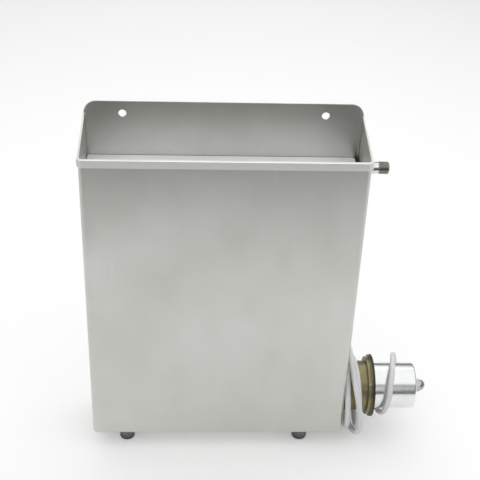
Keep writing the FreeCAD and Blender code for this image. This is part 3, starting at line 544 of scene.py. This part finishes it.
# feet darker towards the bottom, over their lowest 12 mm
FOOT_RUBBER = SoftMoulding(
    "foot_rubber", (0.19, 0.205, 0.205), (0.28, 0.295, 0.295), 0.42, darkening_height=0.012
)
SILICONE = SoftMoulding(
    "silicone_sheath", (0.93, 0.94, 0.935), (0.86, 0.87, 0.865), 0.3, 2200.0, 0.000012, 0.5
)
WHITE_BOARD = SoftMoulding("white_board", (0.88, 0.885, 0.885), (0.8, 0.8, 0.79), 0.37, 900.0)
PLUG_SKIN = SoftMoulding("plug_skin", (0.5, 0.505, 0.51), (0.42, 0.42, 0.42), 0.42)
BLACK_MOULDING = SoftMoulding("black_moulding", (0.02, 0.02, 0.022), (0.05, 0.05, 0.05), 0.34)
PALE_MOULDING = SoftMoulding("pale_moulding", (0.62, 0.61, 0.57), (0.5, 0.49, 0.45), 0.27)
CERAMIC = SoftMoulding("glazed_ceramic", (0.78, 0.77, 0.72), (0.68, 0.66, 0.6), 0.12, 500.0, 0.00003, 0.6)

NODE_FINISHES = {
    SHEET: ["tank_shell", "element_rest"],
    BACK_SHEET: ["back_plate"],
    RACK_SHEET: ["rack_guide", "rack_end_left", "rack_end_right"],
    WHITE_BOARD: [
        "rack_slat_front", "rack_slat_middle", "rack_slat_back", "rack_spacers_front", "rack_spacers_back"
    ],
    PASSIVATED: ["heater_socket"],
    DARK_PASSIVATED: ["heater_flange"],
    ALUMINIUM: ["terminal_cap"],
    NICKEL: ["rack_rivets", "cap_stud", "terminal_screws", "earth_screw", "foot_studs"],
    NUT_STEEL: ["cap_washer", "dome_nut"],
    # the set screw takes the thread metal with its painted dark reflection
    THREAD_PAINTED_DARK: ["socket_set_screw"],
    BRASS: ["heater_head", "element_ferrules", "plug_pins", "plug_earth_clips"],
    SHEATH: ["heating_element", "thermostat_pocket"],
    BLACK_RUBBER: ["cap_gasket", "head_seal"],
    FOOT_RUBBER: ["foot_front_left", "foot_front_right", "foot_rear_left", "foot_rear_right"],
    BLACK_MOULDING: ["thermostat"],
    PALE_MOULDING: ["thermostat_knob"],
    CERAMIC: ["terminal_block"],
}


# Surfaces


def grid_piece(name: str, points: Grid, closed: tuple[bool, bool], caps: bool = False) -> bpy.types.Object:
    """Makes a smooth mesh of a grid of points: each face joins a point to the next row and column.

    Args:
        name: the piece's name.
        points: the grid, rows by columns by 3, in millimetres.
        closed: whether the rows and the columns come round to their start.
        caps: closes the first and the last row with a face each.

    Returns:
        The new object.
    """
    rows, columns = points.shape[:2]
    row_steps = np.arange(rows if closed[0] else rows - 1)
    column_steps = np.arange(columns if closed[1] else columns - 1)
    here, there = np.meshgrid(row_steps, column_steps, indexing="ij")
    below, beside = (here + 1) % rows, (there + 1) % columns
    corners = [
        here * columns + there, below * columns + there, below * columns + beside, here * columns + beside
    ]
    quads = np.stack(corners, axis=-1).reshape(-1, 4).tolist()
    if caps:
        quads.append(list(range(columns)))
        quads.append(list(range((rows - 1) * columns, rows * columns))[::-1])
    mesh = bpy.data.meshes.new(name)
    mesh.from_pydata((points.reshape(-1, 3) * MM).tolist(), [], quads)
    mesh.validate()
    mesh.polygons.foreach_set("use_smooth", np.ones(len(mesh.polygons), dtype=bool))
    mesh.update()
    piece = bpy.data.objects.new(name, mesh)
    bpy.context.scene.collection.objects.link(piece)
    outwards(piece)
    return piece


def outwards(piece: bpy.types.Object) -> None:
    """Turns a closed mesh's faces outwards, by the sign of its volume.

    Args:
        piece: the piece whose mesh is turned.
    """
    mesh = piece.data
    mesh.calc_loop_triangles()
    places = np.empty(len(mesh.vertices) * 3)
    mesh.vertices.foreach_get("co", places)
    places = places.reshape(-1, 3)
    triangles = np.empty(len(mesh.loop_triangles) * 3, dtype=int)
    mesh.loop_triangles.foreach_get("vertices", triangles)
    first, second, third = (places[triangles.reshape(-1, 3)[:, corner]] for corner in range(3))
    if np.einsum("ij,ij->i", first, np.cross(second, third)).sum() < 0:
        mesh.flip_normals()


def round_x(
    profile: Grid,
    axis_place: Grid,
    columns: int,
    swell: Grid | float = 0.0,
) -> Grid:
    """Carries a profile of (x, radius) round an axis along X.

    Args:
        profile: rows of x and radius, in millimetres.
        axis_place: the axis's Y and Z.
        columns: the steps round the axis.
        swell: what is added to the radius, a number or rows by columns.

    Returns:
        The grid: Y is the radius times the cosine and Z the radius times the sine of the angle.
    """
    angle = np.linspace(0.0, 2.0 * math.pi, columns, endpoint=False)
    radius = profile[:, 1:2] + swell + np.zeros((len(profile), columns))
    x = np.repeat(profile[:, :1], columns, axis=1)
    y = axis_place[0] + radius * np.cos(angle)
    z = axis_place[1] + radius * np.sin(angle)
    return np.stack([x, y, z], axis=-1)


@cache
def material_of(finish: Finish) -> bpy.types.Material:
    """Makes a finish's material, once for each finish.

    Args:
        finish: any of the finishes above.

    Returns:
        The material.
    """
    return finish.make()


def dress(piece: bpy.types.Object, finish: Finish) -> bpy.types.Object:
    """Gives a new piece its material, and lets it ride on the tank.

    Args:
        piece: the new piece.
        finish: the finish that makes the material.

    Returns:
        The same piece.
    """
    piece.data.materials.append(material_of(finish))
    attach(piece, TANK)
    return piece


# Sub-assemblies


@dataclass(frozen=True)
class Box:
    """A CAD node's box, in millimetres."""

    low: Grid
    high: Grid

    @classmethod
    def of(cls, node: bpy.types.Object) -> "Box":
        """Measures a node's mesh, to a ten-thousandth of a millimetre.

        Args:
            node: the CAD node.

        Returns:
            Its box.
        """
        places = np.empty(len(node.data.vertices) * 3)
        node.data.vertices.foreach_get("co", places)
        places = np.round(places.reshape(-1, 3) / MM, 4)
        return cls(places.min(axis=0), places.max(axis=0))

    @property
    def size(self) -> Grid:
        """The box's length along each axis."""
        return self.high - self.low

    @property
    def middle(self) -> Grid:
        """The box's middle."""
        return (self.low + self.high) / 2.0


@dataclass
class CornerWelds:
    """The beads in the tank's two back corners, which the sheets alone don't show."""

    plate: Box
    shell: Box
    foot: float = 5.0
    head: float = 1.0
    bead: float = 1.7
    inset: float = 0.5
    ripple: float = 0.18
    pitch: float = 2.4
    rows: int = 900
    columns: int = 14

    def build(self) -> list[bpy.types.Object]:
        """Lays a rippled weld bead up each inside corner at the back.

        Returns:
            The two beads.
        """
        return [self._bead(side, sign) for side, sign in (("left", -1.0), ("right", 1.0))]

    def _bead(self, side: str, sign: float) -> bpy.types.Object:
        """One bead, a round rod: its radius is the bead's less the ripple times the sine's size.

        Args:
            side: the side's name.
            sign: the side's sign on X.

        Returns:
            The bead.
        """
        low, high = self.shell.low[2] + self.foot, self.shell.high[2] - self.head
        level = np.linspace(low, high, self.rows)[:, None]
        angle = np.linspace(0.0, 2.0 * math.pi, self.columns, endpoint=False)[None, :]
        wave = np.abs(np.sin(math.pi * level / self.pitch))
        radius = self.bead - self.ripple * wave
        inside = self.plate.high[0] - self.plate.size[1]
        x = sign * (inside - self.inset) + radius * np.cos(angle)
        y = self.plate.low[1] - self.inset + radius * np.sin(angle)
        z = np.repeat(level, self.columns, axis=1)
        bead = grid_piece(f"corner_weld_{side}", np.stack([x, y, z], axis=-1), (False, True), caps=True)
        return dress(bead, WELD)


@dataclass
class Overflow:
    """The overflow pipe with a cut pipe thread, a chamfered mouth and its weld at the wall."""

    pipe: Box
    sheet: float
    bore: float = 5.5
    neck: float = 7.7
    crest: float = 8.3
    root: float = 7.35
    thread: float = 13.5
    pitch: float = 1.337
    runout: float = 0.9
    run_in: float = 0.3
    thread_rise: float = 1.5
    thread_fall: float = 1.2
    rows_per_pitch: float = 9.0
    weld: float = 2.6
    weld_foot: float = 1.9
    weld_shoulder: float = 0.9
    weld_crown: float = 1.5
    weld_toe: float = 0.15
    weld_run: float = 0.8
    weld_band: float = 0.45
    weld_ripple: float = 0.22
    weld_ripples: float = 16.0
    lip: float = 0.5
    lip_run: float = 0.45
    bore_run: float = 0.4
    bore_seam: float = 8.0
    columns: int = 72

    def build(self) -> bpy.types.Object:
        """Makes the pipe as one closed profile round its axis.

        The thread adds a triangle wave of x over the pitch less the turn, so it climbs one pitch a turn.
        The weld's crown adds a sine of the angle.

        Returns:
            The pipe.
        """
        inside, end = self.pipe.low[0], self.pipe.high[0]
        wall = inside + self.sheet
        start = end - self.thread
        rows = np.arange(start, end - self.runout, self.pitch / self.rows_per_pitch)
        thread_rows = np.stack([rows, np.full_like(rows, self.root)], axis=1)
        neck = [
            (inside, self.bore),
            (inside, self.neck),
            (wall, self.neck),
            (wall, self.neck + self.weld_foot),
            (wall + self.weld_shoulder, self.neck + self.weld_crown),
            (wall + self.weld, self.neck + self.weld_toe),
            (wall + self.weld + self.weld_run, self.neck),
            (start - self.runout, self.neck),
            (start - self.run_in, self.root),
        ]
        mouth = [
            (end - self.lip_run, self.root),
            (end, self.root - self.lip),
            (end, self.bore + self.lip),
            (end - self.bore_run, self.bore),
            (inside + self.bore_seam, self.bore),
        ]
        profile = np.vstack([neck, thread_rows, mouth])
        across, radius = profile[:, :1], profile[:, 1:2]
        angle = np.linspace(0.0, 1.0, self.columns, endpoint=False)[None, :]
        phase = (across / self.pitch - angle) % 1.0
        wave = 1.0 - np.abs(2.0 * phase - 1.0)
        rise = np.clip((across - start) / self.thread_rise, 0.0, 1.0)
        fall = np.clip((end - self.lip - across) / self.thread_fall, 0.0, 1.0)
        swell = (self.crest - self.root) * wave * (rise * fall) * (radius == self.root)
        ring = np.abs(radius - self.neck - self.weld_crown) < self.weld_band
        swell = swell + ring * self.weld_ripple * np.sin(2.0 * math.pi * self.weld_ripples * angle)
        grid = round_x(profile, self.pipe.middle[1:], self.columns, swell)
        spout = grid_piece("overflow_spout", grid, (True, True))
        dress(spout, NICKEL)
        # the threaded part takes the darkened thread metal, a painted dark reflection
        spout.data.materials.append(material_of(THREAD_PAINTED_DARK))
        centres = np.empty(len(spout.data.polygons) * 3)
        spout.data.polygons.foreach_get("center", centres)
        far = (centres.reshape(-1, 3)[:, 0] > start * MM).astype(int)
        spout.data.polygons.foreach_set("material_index", far)
        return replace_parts(spout, "overflow_pipe")


@dataclass
class Lead:
    """The silicone lead: its loop round the cap, its coil on the socket's neck and its tail to the plug."""

    radius: float = 4.0
    axis_level: float = 73.6
    start: float = 0.125
    end: float = 3.0
    points_per_turn: int = 24
    drop: float = 10.7
    inner: float = 50.1
    layer: float = 8.7
    layer_turns: tuple[float, float] = (1.6, 2.05)
    slack: float = 3.0
    slack_turns: tuple[float, float] = (2.3, 2.75)
    lean: float = 18.0
    lean_turns: tuple[float, float] = (1.95, 2.5)
    lean_back: float = 8.0
    lean_back_turns: tuple[float, float] = (2.55, 2.95)
    inward_pitch: float = 15.7
    outward_pitch: float = 8.9
    first_place: float = 204.5
    wall_place: float = 179.5
    end_run: float = 20.0
    length: float = 1.58
    bevel_steps: int = 5
    spline_steps: int = 6
    spline_order: int = 3
    route: list[Point] = field(
        default_factory=lambda: [
            (228, 41, 52.6),
            (228, 41, 42.6),
            (228.4, 34.8, 31.8),
            (229.5, 20, 27.6),
            (231, 4, 30),
            (232.5, -19, 38),
            (235, -37, 56.4),
            (238, -41, 81.6),
            (239.5, -33.5, 102.6),
            (243.5, -14, 115.1),
            (247.5, 9, 117.1),
            (252, 30, 106.6),
            (257.5, 44, 88.1),
            (262.5, 54.5, 69.1),
            (262.6, 63, 54.6),
            (256.6, 70.5, 45.5),
            (243.6, 76.5, 40.3),
            (226, 78, 41.5),
            (211, 72, 48),
        ]
    )
    tail: list[Point] = field(
        default_factory=lambda: [
            (194.5, 66.5, 20),
            (189, 79, 8.5),
            (178, 92, 4.4),
            (158, 98, 4.4),
            (135, 96, 4.4),
            (112, 90, 6),
            (90, 86.5, 14),
            (69, 85, 19.4),
            (54, 85, 19.4),
        ]
    )

    @staticmethod
    def _ramp(turn: Grid, first: float, last: float) -> Grid:
        """Rises from 0 to 1 between two turns: three times the square less twice the cube of the share.

        Args:
            turn: the turns, counted from the back of the neck.
            first: the turn where it leaves 0.
            last: the turn where it comes to 1.

        Returns:
            The levels.
        """
        share = np.clip((turn - first) / (last - first), 0.0, 1.0)
        return share * share * (3.0 - 2.0 * share)

    def _coil(self) -> Grid:
        """The coil's middle line.

        It goes round the neck at the inner radius towards the wall, climbs a layer and comes back out, and
        leans away from the wall below its top by one less the square of half of one plus the sine.

        Returns:
            Its points, in millimetres.
        """
        count = int((self.end - self.start) * self.points_per_turn) + 1
        turn = np.linspace(self.start, self.end, count)
        angle = -2.0 * math.pi * turn
        layer = self.layer * self._ramp(turn, *self.layer_turns)
        slack = self.slack * self._ramp(turn, *self.slack_turns)
        radius = self.inner + layer + slack
        inward = self.first_place - self.inward_pitch * turn
        outward = self.wall_place + self.outward_pitch * (turn - self.layer_turns[1])
        across = np.maximum(np.maximum(inward, self.wall_place), outward)
        lean = self.lean * self._ramp(turn, *self.lean_turns)
        lean_back = self.lean_back * self._ramp(turn, *self.lean_back_turns)
        across = across + (lean - lean_back) * (1.0 - ((1.0 + np.sin(angle)) / 2.0) ** 2)
        level = self.axis_level - self.drop
        return np.stack([across, radius * np.cos(angle), level + radius * np.sin(angle)], axis=1)

    def _path(self) -> Grid:
        """Joins the loop, the coil and the tail, with a straight run at each end of the coil.

        Returns:
            The route's points, in millimetres.
        """
        coil = self._coil()
        slope = math.sqrt(0.5)
        into = np.array([0.0, -slope, -slope])
        out_of = np.array([0.0, 0.0, -1.0])
        near = coil[0] - into * 2.0 * self.radius
        far = coil[-1] + out_of * 2.0 * self.radius
        run_in = [near - into * self.end_run, near]
        run_out = [far, far + out_of * self.end_run]
        return np.vstack([self.route, run_in, coil, run_out, self.tail])

    def build(self, with_pieces: list[bpy.types.Object]) -> bpy.types.Object:
        """Makes the lead as one open spline with a round bevel.

        Args:
            with_pieces: the pieces on the lead; not used.

        Returns:
            The lead.
        """
        path = self._path() * MM
        curve = bpy.data.curves.new("lead", "CURVE")
        curve.dimensions = "3D"
        curve.bevel_depth = self.radius * MM
        curve.bevel_resolution = self.bevel_steps
        curve.resolution_u = self.spline_steps
        curve.use_fill_caps = True
        spline = curve.splines.new("NURBS")
        spline.points.add(len(path) - 1)
        spline.points.foreach_set("co", np.hstack([path, np.ones((len(path), 1))]).ravel())
        spline.use_endpoint_u = True
        spline.order_u = self.spline_order
        lead = bpy.data.objects.new("lead", curve)
        bpy.context.scene.collection.objects.link(lead)
        dress(lead, SILICONE)
        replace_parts(lead, "cord_lead", "cord_coil", "cord_tail")
        return lead


@dataclass
class Boot:
    """The elbow boot where the lead enters the cap: a bent sleeve with grip ribs."""

    end: Point
    drop: float = 20.0
    start: float = 20.3
    bend: float = 6.5
    thick: float = 6.0
    shoulder: float = 6.9
    collar: float = 6.5
    mouth: float = 5.1
    radius_shares: tuple[float, ...] = (0.0, 0.38, 0.5, 0.62, 1.0)
    ribs: int = 4
    rib_depth: float = 0.35
    rib_start: float = 0.64
    rib_run: float = 0.33
    rib_fade: float = 0.05
    bend_rows: int = 14
    fall_rows: int = 46
    columns: int = 32

    def build(self) -> bpy.types.Object:
        """Carries a round section along a straight, a quarter turn and a straight down.

        The radius goes through its stops by share of the run, and a cosine over the ribs' stretch is added.

        Returns:
            The boot.
        """
        x, back, end_level = self.end
        level = end_level + self.drop
        straight = np.linspace(self.start, back - self.bend, self.bend_rows)
        turn = np.linspace(0.0, math.pi / 2.0, self.bend_rows)[1:]
        fall = np.linspace(level - self.bend, end_level, self.fall_rows)[1:]
        y_turn = back - self.bend + self.bend * np.sin(turn)
        z_turn = level - self.bend * (1.0 - np.cos(turn))
        y = np.concatenate([straight, y_turn, np.full(len(fall), back)])
        z = np.concatenate([np.full(len(straight), level), z_turn, fall])
        run = np.concatenate([[0.0], np.cumsum(np.hypot(np.diff(y), np.diff(z)))])
        share = run / run[-1]
        stops = [self.thick, self.thick, self.shoulder, self.collar, self.mouth]
        radius = np.interp(share, self.radius_shares, stops)
        ribbed = share - self.rib_start
        fade = np.clip(ribbed / self.rib_fade, 0.0, 1.0)
        fade = fade * np.clip((self.rib_run - ribbed) / self.rib_fade, 0.0, 1.0)
        ripple = np.cos(2.0 * math.pi * self.ribs * ribbed / self.rib_run)
        radius = (radius + fade * self.rib_depth * ripple)[:, None]
        angle = np.linspace(0.0, 2.0 * math.pi, self.columns, endpoint=False)[None, :]
        aside = radius * np.sin(angle)
        along_y = np.gradient(y, run)[:, None]
        along_z = np.gradient(z, run)[:, None]
        across = x + radius * np.cos(angle)
        grid = np.stack([across, y[:, None] - along_z * aside, z[:, None] + along_y * aside], axis=-1)
        boot = grid_piece("lead_boot", grid, (False, True), caps=True)
        dress(boot, SILICONE)
        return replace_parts(boot, "cord_boot")


@dataclass
class Plug:
    """The moulded plug: a round body with side grooves and a ribbed grip that narrows to the lead."""

    box: Box
    inset: float = 0.2
    grip_start: float = 5.5
    grip: float = 22.0
    grip_foot: float = 13.2
    edge: float = 1.2
    edge_step: float = 0.3
    edge_drop: float = 0.45
    shoulder_run: float = 1.0
    taper: float = 0.2
    ribs: int = 5
    rib_depth: float = 0.45
    rib_margin: float = 3.0
    rib_fade: float = 2.0
    groove_margin: float = 4.0
    groove_depth: float = 3.0
    groove_fade: float = 1.5
    groove_sine: float = 0.978
    groove_ease: float = 0.012
    rows: tuple[int, int, int, int] = (70, 8, 14, 6)
    columns: int = 96

    def build(self) -> bpy.types.Object:
        """Carries the plug's outline round its axis.

        The radius is read off the stops by x. The grip takes off one less the cosine of its ribs' turns.
        The grooves at the top and bottom press in where the sine of the angle is close to one.

        Returns:
            The plug's body.
        """
        front, cord_end = self.box.low[0], self.box.high[0]
        body = self.box.size[2] / 2.0 - self.inset
        shoulder = cord_end - self.grip
        inner, outer = shoulder - self.shoulder_run, shoulder + self.edge
        lip = front + self.edge
        stretches = [
            (cord_end, outer + self.edge_step),
            (outer, inner),
            (inner - 2.0 * self.edge_step, lip),
            (lip - self.edge_step, front),
        ]
        x = np.concatenate([np.linspace(*ends, count) for ends, count in zip(stretches, self.rows)])
        stops = np.array(
            [
                (front, body - self.edge),
                (front + self.edge_step, body - self.edge_drop),
                (lip, body),
                (inner, body - self.taper),
                (outer, self.grip_foot),
                (cord_end, self.grip_start),
            ]
        )
        radius = np.interp(x, stops[:, 0], stops[:, 1])
        rise = np.clip((x - shoulder - self.rib_margin) / self.rib_fade, 0.0, 1.0)
        fall = np.clip((cord_end - self.rib_fade - x) / self.rib_fade, 0.0, 1.0)
        ripple = 1.0 - np.cos(2.0 * math.pi * self.ribs * (x - shoulder) / self.grip)
        profile = np.stack([x, radius - rise * fall * self.rib_depth * ripple], axis=1)
        angle = np.linspace(0.0, 2.0 * math.pi, self.columns, endpoint=False)[None, :]
        reach = np.clip((shoulder - self.groove_margin - x) / self.groove_fade, 0.0, 1.0)[:, None]
        groove = np.clip((np.abs(np.sin(angle)) - self.groove_sine) / self.groove_ease, 0.0, 1.0)
        grid = round_x(profile, self.box.middle[1:], self.columns, -self.groove_depth * reach * groove)
        plug = grid_piece("plug_moulding", grid, (False, True), caps=True)
        dress(plug, PLUG_SKIN)
        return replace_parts(plug, "plug_body")


# Camera, lamps and floor


@dataclass(frozen=True)
class Lamp:
    """A square soft lamp, in metres and watts."""

    name: str
    place: Point
    aim: Point
    size: float
    power: float

    def make(self) -> None:
        """Stands the lamp at its place and turns it to its aim."""
        data = bpy.data.lights.new(self.name, "AREA")
        data.shape = "SQUARE"
        data.size = self.size
        data.energy = self.power
        lamp = bpy.data.objects.new(self.name, data)
        lamp.location = self.place
        lamp.rotation_euler = (Vector(self.aim) - Vector(self.place)).to_track_quat("-Z", "Y").to_euler()
        bpy.context.scene.collection.objects.link(lamp)


@dataclass(frozen=True)
class Studio:
    """The photograph's viewpoint, a pale floor and soft lamps, in metres and degrees.

    The lens and the sensor are in millimetres.
    """

    eye: Point = (-0.0435, -1.1274, 1.0745)
    heading: float = 3.372
    dip: float = 33.685
    roll: float = 2.339
    lens: float = 78.635
    sensor: float = 36.0
    lamps: tuple[Lamp, ...] = (
        Lamp("overhead", (0.05, 0.05, 1.6), (0.05, 0.05, 0.0), 3.2, 35.0),
        Lamp("front", (0.2, -2.6, 1.0), (0.1, 0.0, 0.1), 1.0, 2.6),
        Lamp("rear", (0.1, 2.4, 1.7), (0.1, 1.7, 0.0), 1.6, 6.0),
    )
    floor_colour: Colour = (0.9, 0.9, 0.9)
    floor_shade: Colour = (0.8, 0.8, 0.8)
    world_levels: tuple[tuple[float, float], ...] = (
        (0.0, 0.12),
        (0.5, 0.1),
        (0.6, 0.16),
        (0.7, 0.4),
        (0.84, 0.4),
        (0.87, 0.05),
    )
    backdrop: Colour = (0.9, 0.9, 0.9)
    floor_glow: float = 0.27
    floor_scale: float = 3.0
    floor_mottle: float = 0.02
    table_front: float = -0.8
    table_reach: float = 6.0

    def build(self) -> None:
        """Makes the camera, the world, the lamps and the floor."""
        self._camera()
        self._world()
        for lamp in self.lamps:
            lamp.make()
        self._floor()

    def _camera(self) -> None:
        """Sets the camera on the photograph's eye point, turned by its heading, its dip and its roll."""
        data = bpy.data.cameras.new("camera")
        data.sensor_width = self.sensor
        data.lens = self.lens
        camera = bpy.data.objects.new("camera", data)
        bpy.context.scene.collection.objects.link(camera)
        turn = Matrix.Rotation(-math.radians(self.heading), 4, "Z")
        turn = turn @ Matrix.Rotation(math.radians(90.0 - self.dip), 4, "X")
        turn = turn @ Matrix.Rotation(math.radians(self.roll), 4, "Z")
        camera.matrix_world = Matrix.Translation(self.eye) @ turn
        bpy.context.scene.camera = camera

    def _world(self) -> None:
        """Lights the scene dimly at the horizon and more from above, behind a pale backdrop."""
        world = bpy.data.worlds.new("studio")
        shader = Shader(world)
        direction = shader.node("ShaderNodeTexCoord", {}, {})[Coordinates.GENERATED.value]
        height = shader.node("ShaderNodeSeparateXYZ", {}, {0: direction})[2]
        share = shader.spread(height, -1.0, 1.0)
        level = shader.node("ShaderNodeValToRGB", {"stops": self.world_levels}, {0: share})[0]
        shown = shader.mix(shader.seen_by(Ray.CAMERA), level, self.backdrop)
        light = shader.node("ShaderNodeBackground", {}, {"Color": shown, "Strength": 1.0})[0]
        shader.node("ShaderNodeOutputWorld", {}, {"Surface": light})
        bpy.context.scene.world = world

    def _floor(self) -> None:
        """Lays the pale floor, which glows a little for the rays that see it."""
        shader = Shader(bpy.data.materials.new("floor"))
        tone = shader.noise(self.floor_scale, COARSE_OCTAVES) * self.floor_mottle
        colour = shader.mix(tone, self.floor_colour, self.floor_shade)
        seen = shader.seen_by(Ray.CAMERA, Ray.GLOSSY, Ray.TRANSMISSION)
        material = shader.close(
            {
                "Base Color": colour,
                "Roughness": 0.9,
                "Specular IOR Level": 0.1,
                "Emission Color": (1.0, 1.0, 1.0, 1.0),
                "Emission Strength": seen * self.floor_glow,
            }
        )
        mesh = bpy.data.meshes.new("floor")
        reach, front = self.table_reach, self.table_front
        corners = [(-reach, front, 0.0), (reach, front, 0.0), (reach, reach, 0.0), (-reach, reach, 0.0)]
        mesh.from_pydata(corners, [], [(0, 1, 2, 3)])
        mesh.materials.append(material)
        floor = bpy.data.objects.new("floor", mesh)
        bpy.context.scene.collection.objects.link(floor)


def dress_nodes(nodes: dict[str, bpy.types.Object]) -> None:
    """Gives each CAD node that stays its finish.

    Args:
        nodes: the frame's nodes by name.
    """
    for finish, names in NODE_FINISHES.items():
        for name in names:
            node = nodes[name]
            node.data.materials.clear()
            node.data.materials.append(material_of(finish))


def main() -> None:
    """Builds the scene and reports each piece."""
    logging.basicConfig(level=logging.INFO, format="%(name)s: %(message)s")
    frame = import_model()
    bpy.context.scene.view_settings.view_transform = "Standard"
    Studio().build()
    nodes = frame["nodes"]
    plate = Box.of(nodes["back_plate"])
    lead = Lead()
    boot = Boot(lead.route[0]).build()
    plug = Plug(Box.of(nodes["plug_body"])).build()
    made = [boot, plug]
    made.append(lead.build([boot, plug, nodes["plug_pins"], nodes["plug_earth_clips"]]))
    made.append(Overflow(Box.of(nodes["overflow_pipe"]), plate.size[1]).build())
    made.extend(CornerWelds(plate, Box.of(nodes["tank_shell"])).build())
    dress_nodes(nodes)
    for piece in made:
        LOG.info("%s made", piece.name)


if __name__ == "__main__":
    main()
